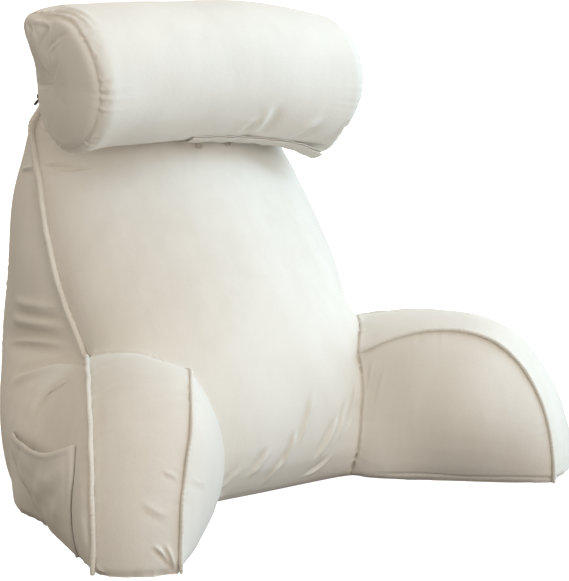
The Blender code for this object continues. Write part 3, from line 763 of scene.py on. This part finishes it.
def cover_relief(points, normals, lines, junctions, creasing):
    """Height of the cloth's relief: piped and bare seams, the creases at the arms, folds and slow swells,
    which end above the floor, and the right arm's base seam. Also the shade painted into the pile along the
    seams and creases and in the folds' valleys."""
    piped = [line for name, line in lines.items() if name.startswith(("outer", "inner"))]
    bare = [line for name, line in lines.items() if name.startswith(("rear", "top"))]
    height, near = seam_relief(points, piped, WELTED_SEAM, 1)
    more, nearer = seam_relief(points, bare, BARE_SEAM, 9)
    # painted shade along the seams: light beside the piped ones, full beside the bare ones
    painted_shade = np.maximum(near * 0.35, nearer)
    for number, (line, depth) in enumerate(zip(junctions, JUNCTION_DEPTHS)):
        seam = (depth, JUNCTION_WIDTH, 0.1 * depth, 0.016, 0.014)
        crease, beside = seam_relief(points, [line], seam, 15 + number)
        height += crease
        # painted shade along the crease where the arm meets the front panel
        painted_shade = np.maximum(painted_shade, 0.8 * beside * depth / JUNCTION_DEPTHS[0])
    folds = creasing * fold_relief(points, normals, COVER_FOLDS)
    height += more + folds + SWELL * billow(points, 0.12, 3)
    height *= np.clip((points[:, 2] - 0.0005) / 0.004, 0.0, 1.0)
    middle, waviness, depth, width = BASE_SEAM
    middle = middle + waviness * billow(points * [1, 1, 0], 0.09, 5)
    on_right = np.clip(points[:, 0] / 0.02 - 5, 0, 1)
    height -= depth * np.exp(-(((points[:, 2] - middle) / width) ** 2)) * on_right
    return height, np.maximum(painted_shade, painted_fold_shade(folds))


class PILLOW_OT_cover(bpy.types.Operator):
    """Stuffed cover of the back and both arms, as one body of cloth"""

    bl_idname = "pillow.cover"
    bl_label = "Cover"

    def execute(self, context):
        settings = context.scene.pillow_cover
        lines = seam_lines()
        obj, *meetings = union_of_bodies()
        mesh = finished(obj, "REMESH", mode="VOXEL", voxel_size=settings.voxel, adaptivity=0.0)
        points = points_of(mesh)
        points[:, 2] = np.maximum(points[:, 2], 0.0)
        floor = points[:, 2] < FLOOR_BAND
        junctions = [junction(meeting, way) for meeting, way in zip(meetings, (1.0, MIRROR))]
        points, on_seam = snapped(points, [*lines.values(), *junctions], SNAP * settings.voxel)
        fixed = on_seam | floor
        points = smoothed(points, array_of(mesh.edges, "vertices", 2, int), 4, fixed)
        set_points(mesh, nudged(points, COVER_NUDGES))
        points = stuffed(obj, fixed, settings)
        points[:, 2] = np.maximum(points[:, 2], 0.0)
        set_points(mesh, points)
        subdivided(obj)
        lines = {name: nudged(line, COVER_NUDGES) for name, line in lines.items()}
        junctions = [nudged(line, COVER_NUDGES) for line in junctions]
        folds = [smooth_curve(metres(fold[2:]), 0.004) for fold in COVER_FOLDS]
        mesh = refined(obj, folds + junctions, 0.010)
        tree = tree_of(mesh)
        for line in junctions:
            line[:] = [tree.find_nearest(point)[0] for point in line]
            eased(line, 6)
        points, normals = points_of(mesh), normals_of(mesh)
        height, painted_shade = cover_relief(points, normals, lines, junctions, settings.creasing)
        tuck = TUCK[0] * np.clip(1 - points[:, 2] / TUCK[1], 0.0, 1.0) ** 2
        points = points + normals * height[:, None] - normals * [1, 1, 0] * tuck[:, None]
        points[:, 2] = np.maximum(points[:, 2], 0.0)
        set_points(mesh, points)
        store_painted_shade(mesh, painted_shade)
        cloth = pile_cloth("cream_pile", settings.pile, settings.nap)
        dressed(obj, cloth, "cover", "back_cushion", "arm_left", "arm_right")
        return {"FINISHED"}


# ---- neck roll
def roll_section(x):
    """Radius and droop at x, which goes from -1 at the left end to 1 at the right: two parabolas, and the
    droop's is slanted."""
    return ROLL_RADII[0] + (ROLL_RADII[1] - ROLL_RADII[0]) * x**2, ROLL_SAG[0] * x**2 + ROLL_SAG[1] * x


def roll_points(x, turn, radius, droop):
    """Points at the given turn and radius round the roll's middle line."""
    middle = np.array(ROLL_MIDDLE)
    return np.stack([middle[0] + ROLL_HALF_LENGTH * x + 0 * turn, middle[1] + radius * np.cos(turn),
                     middle[2] - droop + radius * np.sin(turn)], axis=-1)


def roll_surface(rows, ring_rows, columns):
    """Roll from pole to pole: a disc of rings, a tube and another disc. The tube narrows at its very ends.
    Its left end leans, and that end's corner is pulled out. Also the tube's first and last ring."""
    turn = turns(columns)[None, :]
    x = np.sin(np.linspace(-1, 1, rows) * math.pi / 2)[:, None]
    radius, droop = roll_section(x)
    radius = radius * np.sqrt(1 - (0.45 * np.clip((np.abs(x) - 0.90) / 0.10, 0, 1)) ** 2)
    tube = roll_points(x, turn, radius, droop)
    left = np.clip((-x - 0.6) / 0.4, 0, 1) ** 2
    tube[..., 0] -= left * ROLL_LEAN * radius * np.maximum(np.sin(turn), -0.1)
    pull = left * np.exp(-((turn - ROLL_TIP_TURN) / ROLL_TIP_SPREAD) ** 2)
    tube += pull[..., None] * np.array(ROLL_TIP)
    inwards = np.linspace(0, 1, ring_rows + 1)[1:, None]
    discs = []
    for edge, way in ((tube[0], -1), (tube[-1], 1)):
        disc = edge[None] * (1 - inwards)[..., None] + edge.mean(axis=0) * inwards[..., None]
        disc[..., 0] += way * ROLL_END_BULGE * np.sqrt(1 - (1 - inwards) ** 2)
        discs.append(disc)
    return np.concatenate([discs[0][::-1], tube, discs[1]]), tube[0], tube[-1]


class PILLOW_OT_roll(bpy.types.Operator):
    """Stuffed neck roll with its round end panels"""

    bl_idname = "pillow.roll"
    bl_label = "Neck roll"

    def execute(self, context):
        settings = context.scene.pillow_cover
        surface, *ends = roll_surface(88, 16, 176)
        obj = tube_object("roll_cover", nudged(surface, ROLL_NUDGES))
        seams = [nudged(np.concatenate([ring, ring[:1]]), ROLL_NUDGES) for ring in ends]
        _, on_seam = snapped(points_of(obj.data), [evened(seam, 0.002) for seam in seams], 0.0008)
        points = stuffed(obj, on_seam, settings)
        points = held_outside(points, frame_tree("back_cushion"), 0.0008)
        set_points(obj.data, points)
        mesh = subdivided(obj)
        points, normals = points_of(mesh), normals_of(mesh)
        rings = [evened(seam, 0.0015) for seam in seams]
        height, near = seam_relief(points, rings, ROLL_SEAM, 21, ((1.0, 0.0, 0.0), (-1.0, 0.0, 0.0)))
        folds = settings.creasing * fold_relief(points, normals, ROLL_FOLDS)
        height += folds + SWELL * billow(points, 0.11, 23)
        set_points(mesh, points + normals * height[:, None])
        # painted shade beside the end seams and in the fold hollows
        store_painted_shade(mesh, np.maximum(0.6 * near, painted_fold_shade(folds)))
        cloth = pile_cloth("cream_pile_roll", settings.roll, toned(settings.roll, 0.94))
        dressed(obj, cloth, "cover", "neck_roll")
        return {"FINISHED"}


# ---- piping
def outward_at(path, points, normals, reach=0.012):
    """Mean direction of the cloth's normals near each point of a seam."""
    result = np.zeros_like(path)
    near = np.all((points > path.min(0) - reach) & (points < path.max(0) + reach), axis=1)
    points, normals = points[near], normals[near]
    for part in np.array_split(np.arange(len(path)), len(path) // 20 + 1):
        gap = np.linalg.norm(path[part, None] - points[None], axis=2)
        weight = np.exp(-((gap / (0.6 * reach)) ** 2))
        result[part] = weight @ normals
    return unit(result)


def carried(path, outward, profile, taper=0.004):
    """Profile (side, out) carried along the path. It closes to a rounded point at both ends."""
    heading = unit(np.gradient(path, axis=0))
    side = unit(np.cross(heading, outward))
    out = np.cross(side, heading)
    run = run_of(path)
    edge = np.clip(np.minimum(run, run[-1] - run) / taper, 0.0, 1.0)
    size = np.sqrt(1 - (1 - edge) ** 2)
    middle = profile.mean(axis=-2, keepdims=True)
    shape = middle + (profile - middle) * size[:, None, None]
    return path[:, None] + side[:, None] * shape[..., :1] + out[:, None] * shape[..., 1:]


class PILLOW_OT_piping(bpy.types.Operator):
    """Piping: a cord in a folded bias strip, sewn into the front and arm seams"""

    bl_idname = "pillow.piping"
    bl_label = "Piping"

    def execute(self, context):
        settings = context.scene.pillow_piping
        cover = bpy.data.objects["cover_body"].data
        points, normals = points_of(cover), normals_of(cover)
        cloth = pile_cloth("piping_cloth", settings.tint, toned(settings.tint, 0.93), 1.4)
        for number, (name, line) in enumerate(seam_lines().items()):
            if not name.startswith(("outer", "inner")):
                continue
            inner = name.startswith("inner")
            if inner:
                line = np.concatenate([[line[0] - WELT_ROOT * unit(line[3] - line[0])], line])
            path = evened(nudged(line, COVER_NUDGES), 0.0012)
            outward = outward_at(path, points, normals)
            run = np.linspace(0.0, run_of(path)[-1], len(path))[:, None]
            if inner:
                path -= outward * 0.004 * np.clip(1 - run / 0.008, 0, 1) ** 2
                size = np.full_like(run, settings.thin)
            else:
                arm = np.clip((run - FLANGE_END) / 0.03, 0, 1)
                size = settings.flange * (1 - arm) + settings.radius * arm
            grid = carried(path, outward, self.section(run[:, 0], size, settings.proud, number))
            grid[..., 2] = np.maximum(grid[..., 2], 0.0004)
            obj = tube_object("piping_" + name, grid)
            store_painted_shade(obj.data, np.zeros(len(obj.data.vertices)))
            dressed(obj, cloth, "piping", "welt_" + name)
        return {"FINISHED"}

    def section(self, run, size, proud, seed):
        """Section (side, out) of the cloth round the cord, at each length: a circle with a neck where it is
        sewn in. Its radius, stand and place waver slowly, and its top has fine gathers."""
        def waver(height, wavelength, start):
            return height * ripple(run, wavelength, start + seed)[:, None]

        turn = turns(20)[None, :]
        radius = size * (1 + waver(0.06, 0.03, 60)) + waver(0.00012, 0.0042, 70) * (1 + np.sin(turn))
        stand = size * proud + waver(0.0003, 0.05, 80)
        neck = 1 - 0.45 * np.clip(-np.sin(turn), 0, 1) ** 2
        return np.stack([radius * np.cos(turn) * neck + waver(0.0003, 0.06, 90),
                         stand + radius * np.sin(turn) * (1 + 0.9 * (np.sin(turn) < 0))], axis=-1)


# ---- pocket
POCKET_REAR = ((-0.0850, 0.006), (-0.0535, 0.026), (0.0025, 0.050), (0.0345, 0.068), (0.0420, 0.083))
POCKET_FRONT = ((-0.1715, 0.006), (-0.1705, 0.030), (-0.1690, 0.060), (-0.1665, 0.090), (-0.1535, 0.1155))
POCKET_SAG = 0.007             # even sag of the mouth
POCKET_DIP = 0.008             # and more of it towards the front
POCKET_GRID = (96, 48)


def pocket_layers(settings):
    """Inner and outer faces of the pocket as grids, mouth last: the cloth lies on the arm at its sewn edges
    and stands off it by a rounded share of the opening in between, growing to the mouth."""
    tree = tree_of(bpy.data.objects["cover_body"].data)
    columns, rows = POCKET_GRID
    a, up = np.linspace(0, 1, columns + 1)[:, None], np.linspace(0, 1, rows + 1)[None, :]
    edges = []
    for corners in (POCKET_REAR, POCKET_FRONT):
        edge = smooth_curve([(0.0, *corner) for corner in corners], 0.001)
        marks = np.linspace(0, 1, len(edge))
        edges.append(np.stack([np.interp(up[0], marks, edge[:, i]) for i in (1, 2)], axis=1))
    flat = edges[0][None] * (1 - a)[..., None] + edges[1][None] * a[..., None]
    flat[..., 1] -= (POCKET_SAG * 4 * a * (1 - a) + POCKET_DIP * np.sin(math.pi * a**2.6)) * up**2
    base = np.zeros((columns + 1, rows + 1, 3))
    for i, j in np.ndindex(columns + 1, rows + 1):
        place, _, _, _ = tree.ray_cast((-1.0, *flat[i, j]), (1.0, 0.0, 0.0))
        base[i, j] = place
    normal = unit(np.cross(np.gradient(base, axis=1), np.gradient(base, axis=0)))
    normal *= np.sign(-normal[..., :1].mean())
    off = 0.0005 + settings.opening * (4 * a * (1 - a)) ** 0.6 * up
    flat_points, flat_normals = base.reshape(-1, 3), normal.reshape(-1, 3)
    middle = flat_points + flat_normals * off.reshape(-1, 1)
    relief = fold_relief(middle, flat_normals, POCKET_FOLDS) + 0.0005 * billow(middle, 0.03, 31)
    relief = relief.reshape(off.shape) * np.clip(4 * np.minimum(a, 1 - a), 0, 1) * np.clip(4 * up, 0, 1)
    off = off + np.maximum(relief * np.clip(5 * (1 - up), 0, 1), -0.6 * off)
    hem = np.sqrt(np.clip(1 - ((up - 0.975) / 0.025) ** 2, 0, 1))
    edge = np.exp(-(((1 - a) / 0.015) ** 2))
    groove = 0.0006 * np.exp(-(((1 - a) - 0.05) / 0.014) ** 2)
    outer = off + settings.thickness + settings.hem * np.maximum(hem, edge) - groove
    return base + normal * off[..., None], base + normal * outer[..., None]


class PILLOW_OT_pocket(bpy.types.Operator):
    """Side pocket with a turned hem"""

    bl_idname = "pillow.pocket"
    bl_label = "Side pocket"

    def execute(self, context):
        settings = context.scene.pillow_pocket
        cover = context.scene.pillow_cover
        inner, outer = pocket_layers(settings)
        lip = (inner[:, -1:] + outer[:, -1:]) / 2
        lip[..., 2] += settings.thickness * 0.5
        loop = np.concatenate([inner, lip, outer[:, ::-1]], axis=1)
        columns, rows = loop.shape[:2]
        faces = [ring_faces(columns, rows)]
        j = np.arange(inner.shape[1] - 1)
        for start in (0, (columns - 1) * rows):
            faces.append(start + np.stack([j, j + 1, rows - 2 - j, rows - 1 - j], axis=1))
        obj = mesh_object("pocket_cloth", loop.reshape(-1, 3), np.concatenate(faces))
        filled(obj)
        store_painted_shade(obj.data, np.zeros(len(obj.data.vertices)))
        cloth = pile_cloth("cream_pile_pocket", cover.pile, cover.nap)
        dressed(obj, cloth, "cover", "pocket_left")
        return {"FINISHED"}


# ---- strip and fastenings
STRIP_SPAN = (-0.035, 0.152)
STRIP_ARC = (-0.552, -0.632)    # from its fold, under the roll, to its open edges, in half turns
STRIP_DROOP = 0.008            # of its right end, and from where
STRIP_DROOP_FROM = 0.105
STRIP_CLOTH = 0.0010
STRIP_GAP = (0.0013, 0.0016)   # between its two layers, and how much more at its right end
STRIP_LIFT = 0.0009            # off the roll
BUTTON_LIFT = 0.009            # how much higher than in the frame the buttons and loops sit
BUTTON_PROFILE = ((0.0, -0.25), (0.8, -0.25), (1.0, -0.05), (1.0, 0.12), (0.9, 0.26), (0.72, 0.24),
                  (0.55, 0.10), (0.25, 0.07), (0.0, 0.07))     # out and up, in radii
ZIP_SHIFT = (0.0052, -0.0038, 0.0)     # the roll's end is a little fuller than its solid
PULL_TIP = (-0.006, 0.0045, -0.0085)   # from the slider


class PILLOW_OT_strip(bpy.types.Operator):
    """Folded strip under the roll that carries the thread loops"""

    bl_idname = "pillow.strip"
    bl_label = "Loop strip"

    def execute(self, context):
        cover = context.scene.pillow_cover
        x = np.linspace(*STRIP_SPAN, 130)[:, None]
        droop = np.clip((x - STRIP_DROOP_FROM) / (STRIP_SPAN[1] - STRIP_DROOP_FROM), 0, 1) ** 1.5
        fold, opening = (edge * math.pi for edge in STRIP_ARC)
        s = np.linspace(0, 1, 16)[None, :]
        turn = fold + (opening - fold) * s + 0 * x
        first = STRIP_LIFT + 0.75 * STRIP_DROOP * droop + 0.0005 * ripple(x[:, 0], 0.022, 51)[:, None]
        first = first + 0.0004 * np.sin(s * math.pi)
        second = first + STRIP_CLOTH
        third = second + STRIP_GAP[0] + STRIP_GAP[1] * droop
        fourth = third + STRIP_CLOTH
        turn = np.concatenate([turn[:, ::-1], turn + 0.012, turn[:, ::-1] + 0.006, turn], axis=1)
        off = np.concatenate([first[:, ::-1], fourth, third[:, ::-1], second], axis=1)
        radius, sag = roll_section(x / ROLL_HALF_LENGTH)
        obj = tube_object("loop_strip_cloth", roll_points(x / ROLL_HALF_LENGTH, turn, radius + off, sag))
        filled(obj)
        # painted shade over the whole strip, which lies in the shade under the roll
        store_painted_shade(obj.data, np.full(len(obj.data.vertices), 0.8))
        cloth = pile_cloth("cream_pile_strip", cover.pile, cover.nap)
        dressed(obj, cloth, "cover", "roll_strip")
        return {"FINISHED"}


class PILLOW_OT_fastenings(bpy.types.Operator):
    """Buttons on the back, thread loops round them, and the roll's zip"""

    bl_idname = "pillow.fastenings"
    bl_label = "Fastenings"

    def execute(self, context):
        settings = context.scene.pillow_fastenings
        shell = plain("pearl_button", settings.shell, 0.28, coat=0.4, grain=220.0)
        thread = plain("loop_thread", settings.twine, 0.72, grain=1200.0)
        metal = plain("dark_zip_metal", settings.metal, 0.32, metallic=0.9, grain=700.0, depth=0.0001)
        tree = tree_of(bpy.data.objects["cover_body"].data)
        for number in range(1, 6):
            low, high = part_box(f"button_{number}")
            place, normal, _, _ = tree.find_nearest((low + high) / 2 + Vector((0.0, 0.0, BUTTON_LIFT)))
            turn = np.array(normal.to_track_quat("Z", "Y").to_matrix())
            button = self.button(f"pearl_button_{number}", settings.button, turn, place + normal * 0.0009)
            dressed(button, shell, "button", f"button_{number}")
            ring = self.ring(f"thread_loop_{number}", settings, turn, place + normal * 0.0012)
            dressed(ring, thread, "thread", f"loop_{number}")
        low, high = (np.array(corner) + ZIP_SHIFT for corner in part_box("zip_slider"))
        slider = self.slab("zip_slider_body", (low + high) / 2, np.diag(high - low) / 2, 3.2)
        dressed(slider, metal, "zip", "zip_slider")
        tip = np.array(PULL_TIP)
        side = 0.0021 * unit(np.cross(tip, [0.58, 0.80, -0.17]))
        top = (low + high) / 2 - [0.0, 0.0, 0.002]
        pull = self.slab("zip_pull_tab", top + tip / 2, np.stack([side, 0.0007 * unit(np.cross(tip, side)),
                                                                  -tip / 2]), 2.4, pinch=0.35)
        dressed(pull, metal, "zip", "zip_pull")
        return {"FINISHED"}

    def button(self, name, radius, turn, place):
        """Round button: a profile of a raised rim and a dished middle, turned about its axis."""
        profile = np.array(BUTTON_PROFILE) * radius
        angle = turns(28)[None, :]
        grid = np.stack([profile[:, :1] * np.cos(angle), profile[:, :1] * np.sin(angle),
                         profile[:, 1:] + 0 * angle], axis=-1)
        obj = tube_object(name, grid @ turn.T + np.array(place))
        subdivided(obj)
        return obj

    def ring(self, name, settings, turn, place):
        """Thread ring: a circle with a two-ply twist, its section turning as it goes round."""
        around, section = turns(72)[:, None], turns(10)[None, :]
        size = settings.thread * (0.78 + 0.22 * np.abs(np.cos(section + 9 * around)))
        radius = settings.loop * (1 + 0.06 * np.sin(2 * around)) + size * np.cos(section)
        grid = np.stack([radius * np.cos(around), radius * np.sin(around), size * np.sin(section)], axis=-1)
        return tube_object(name, grid @ turn.T + np.array(place), closed=True)

    def slab(self, name, middle, axes, power, pinch=0.0):
        """Rounded slab: a superellipsoid with the given half axes, pinched towards its top."""
        def bent(value):
            return np.sign(value) * np.abs(value) ** (2 / power)

        u, v = np.linspace(-math.pi / 2, math.pi / 2, 25)[:, None], turns(40)[None, :]
        grid = np.stack([bent(np.cos(u)) * bent(np.cos(v)), bent(np.cos(u)) * bent(np.sin(v)),
                         bent(np.sin(u)) + 0 * v], axis=-1)
        grid[..., :2] *= 1 - pinch * (grid[..., 2:] + 1) / 2
        return tube_object(name, middle + grid @ axes)


# ---- stage
CAMERA_PLACE = (-1.12005, -1.62015, 0.57095)
CAMERA_YAW, CAMERA_PITCH = math.radians(36.1), math.radians(10.1)
CAMERA_LENS = 105.34
LAMP_SIZE, LAMP_REACH, LAMP_AIM = 1.3, 2.6, (0.0, 0.0, 0.24)
LAMPS = {                      # azimuth to the right of the camera, elevation, colour
    "window": (100.0, 12.0, (0.56, 0.82, 1.0)),
    "key": (80.0, 35.0, (0.54, 0.81, 1.0)),
    "low": (38.0, 10.0, (1.0, 0.90, 0.82)),
    "rear": (165.0, 25.0, (1.0, 0.98, 0.94)),
}


class PILLOW_OT_stage(bpy.types.Operator):
    """Pale floor that curves up all round, soft lights and the camera"""

    bl_idname = "pillow.stage"
    bl_label = "Stage"

    def execute(self, context):
        settings = context.scene.pillow_stage
        scene = context.scene
        self.floor(settings)
        world = bpy.data.worlds.new("studio")
        world.use_nodes = True
        background = world.node_tree.nodes["Background"].inputs
        background["Color"].default_value = (*settings.ambient, 1.0)
        background["Strength"].default_value = settings.sky
        scene.world = world
        for name, (azimuth, elevation, tint) in LAMPS.items():
            self.light(name, azimuth, elevation, getattr(settings, name), tint)
        camera = bpy.data.objects.new("camera", bpy.data.cameras.new("camera"))
        level = math.cos(CAMERA_PITCH)
        ahead = (math.sin(CAMERA_YAW) * level, math.cos(CAMERA_YAW) * level, -math.sin(CAMERA_PITCH))
        camera.matrix_world = self.looking(CAMERA_PLACE, ahead)
        camera.data.sensor_width, camera.data.lens = 36.0, CAMERA_LENS
        camera.data.clip_start, camera.data.clip_end = 0.05, 40.0
        scene.collection.objects.link(camera)
        scene.camera = camera
        scene.view_settings.view_transform = "Standard"
        return {"FINISHED"}

    def floor(self, settings):
        """White floor with a backdrop that rises in a quarter circle, seen but giving no light, and the
        darker ground just under it, which only returns light to the pillow."""
        angle = turns(96)[None, :]
        flat, bend = 5.0, 2.0
        for name, end, tint, glow in (("backdrop", flat + bend * math.pi / 2, (1.0, 1.0, 1.0), 1.0),
                                      ("ground", flat, settings.ground, 0.0)):
            s = np.linspace(0, end, 60)[:, None]
            turn = np.clip((s - flat) / bend, 0, math.pi / 2)
            reach = np.minimum(s, flat) + bend * np.sin(turn)
            height = bend * (1 - np.cos(turn)) - (0.0002 if name == "backdrop" else 0.0005)
            grid = np.stack([reach * np.cos(angle), reach * np.sin(angle), height + 0 * angle], axis=-1)
            obj = tube_object(name, grid)
            if obj.data.polygons[0].normal.z < 0:
                obj.data.flip_normals()
            obj.data.materials.append(Graph("pale_" + name).surface(
                Base_Color=tint, Roughness=0.9, Emission_Color=(1.0, 1.0, 1.0), Emission_Strength=glow))
            obj.data.shade_smooth()
            obj.visible_camera = name == "backdrop"
            obj.visible_diffuse = obj.visible_glossy = obj.visible_shadow = name == "ground"

    def light(self, name, azimuth, elevation, power, tint):
        """Square soft light, turned from the camera's side to the right, that looks at the pillow."""
        azimuth, elevation = math.radians(azimuth), math.radians(elevation)
        back = Vector((-math.sin(CAMERA_YAW), -math.cos(CAMERA_YAW), 0.0))
        right = Vector((math.cos(CAMERA_YAW), -math.sin(CAMERA_YAW), 0.0))
        way = (back * math.cos(azimuth) + right * math.sin(azimuth)) * math.cos(elevation)
        way.z = math.sin(elevation)
        data = bpy.data.lights.new(name, "AREA")
        data.shape, data.size, data.energy, data.color = "SQUARE", LAMP_SIZE, power, tint
        obj = bpy.data.objects.new(name, data)
        obj.matrix_world = self.looking(Vector(LAMP_AIM) + way * LAMP_REACH, -way)
        bpy.context.scene.collection.objects.link(obj)

    def looking(self, place, ahead):
        """Matrix of a camera or lamp at the place that looks ahead, upright."""
        return Matrix.Translation(place) @ Vector(ahead).to_track_quat("-Z", "Y").to_matrix().to_4x4()


# ---- panel
OPERATORS = (PILLOW_OT_cover, PILLOW_OT_roll, PILLOW_OT_piping, PILLOW_OT_pocket, PILLOW_OT_strip,
             PILLOW_OT_fastenings, PILLOW_OT_stage)


class PILLOW_PT_pieces(bpy.types.Panel):
    """Buttons that build the pillow's pieces, and the settings they read"""

    bl_label = "Reading pillow"
    bl_space_type = "VIEW_3D"
    bl_region_type = "UI"
    bl_category = "Pillow"

    def draw(self, context):
        for operator in OPERATORS:
            self.layout.operator(operator.bl_idname)
        for name, group in SETTINGS.items():
            box = self.layout.box()
            box.label(text=group.__doc__)
            for key in group.__annotations__:
                box.prop(getattr(context.scene, name), key)


CLASSES = (*SETTINGS.values(), *OPERATORS, PILLOW_PT_pieces)


def register():
    for item in CLASSES:
        bpy.utils.register_class(item)
    for name, group in SETTINGS.items():
        setattr(bpy.types.Scene, name, bpy.props.PointerProperty(type=group))


def unregister():
    for name in SETTINGS:
        delattr(bpy.types.Scene, name)
    for item in reversed(CLASSES):
        bpy.utils.unregister_class(item)


def main():
    register()
    for build in (bpy.ops.pillow.cover, bpy.ops.pillow.roll, bpy.ops.pillow.piping, bpy.ops.pillow.pocket,
                  bpy.ops.pillow.strip, bpy.ops.pillow.fastenings, bpy.ops.pillow.stage):
        build()


if __name__ == "__main__":
    main()
